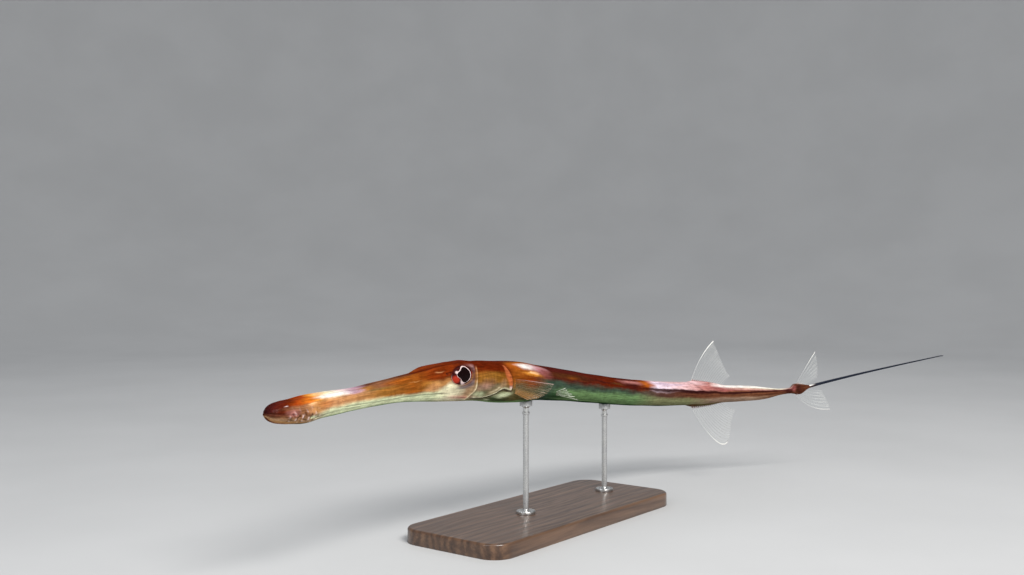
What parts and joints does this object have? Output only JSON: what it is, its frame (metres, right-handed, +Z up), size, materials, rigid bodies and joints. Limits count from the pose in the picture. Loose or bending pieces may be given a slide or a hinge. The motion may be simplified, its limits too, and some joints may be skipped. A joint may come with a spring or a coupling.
{
  "type": "cornetfish model",
  "caption": "Life-size display model of a cornetfish: long tube snout, slim body, forked tail with a long whip, held by rods over a flat base.",
  "frame": {"origin": "middle of the stand base's underside, on the floor", "axes": "+Z up; the snout points to -X and the trunk lies along X; the fish's left side faces -Y, and its tail swings towards -Y"},
  "size_m": [0.9271, 0.3073, 0.1789],
  "materials": {
    "skin_snout": "orange-brown wet skin, glossy",
    "skin_head": "brown skin over pale olive, glossy",
    "skin_gill": "brown to olive skin, glossy",
    "skin_body": "red-brown back, silvery olive side and belly, glossy",
    "skin_tail": "pinkish red-brown skin, glossy",
    "fin": "clear membrane with whitish rays",
    "whip": "dark blue-grey, satin",
    "eye": "black pupil, thin white ring, blood-red iris, clear gloss",
    "stand_wood": "dark stained wood, satin lacquer",
    "stand_steel": "brushed"
  },
  "bodies": {
    "root": {"upper_jaw": "skin_snout", "lower_jaw": "skin_snout", "snout": "skin_snout", "head": "skin_head", "gill_cover_left": "skin_gill", "gill_cover_right": "skin_gill", "eye_left": "eye", "eye_right": "eye", "trunk_front": "skin_body", "trunk_middle": "skin_body", "trunk_rear": "skin_body", "tail_stalk": "skin_tail", "tail_root": "skin_tail", "dorsal_fin": "fin", "anal_fin": "fin", "tail_fin_upper": "fin", "tail_fin_lower": "fin", "tail_filament_front": "whip", "tail_filament_rear": "whip", "pectoral_fin_left": "fin", "pectoral_fin_right": "fin", "pelvic_fin_left": "fin", "pelvic_fin_right": "fin", "stand_base": "stand_wood", "stand_rod_front": "stand_steel", "stand_rod_rear": "stand_steel"}
  },
  "joints": []
}
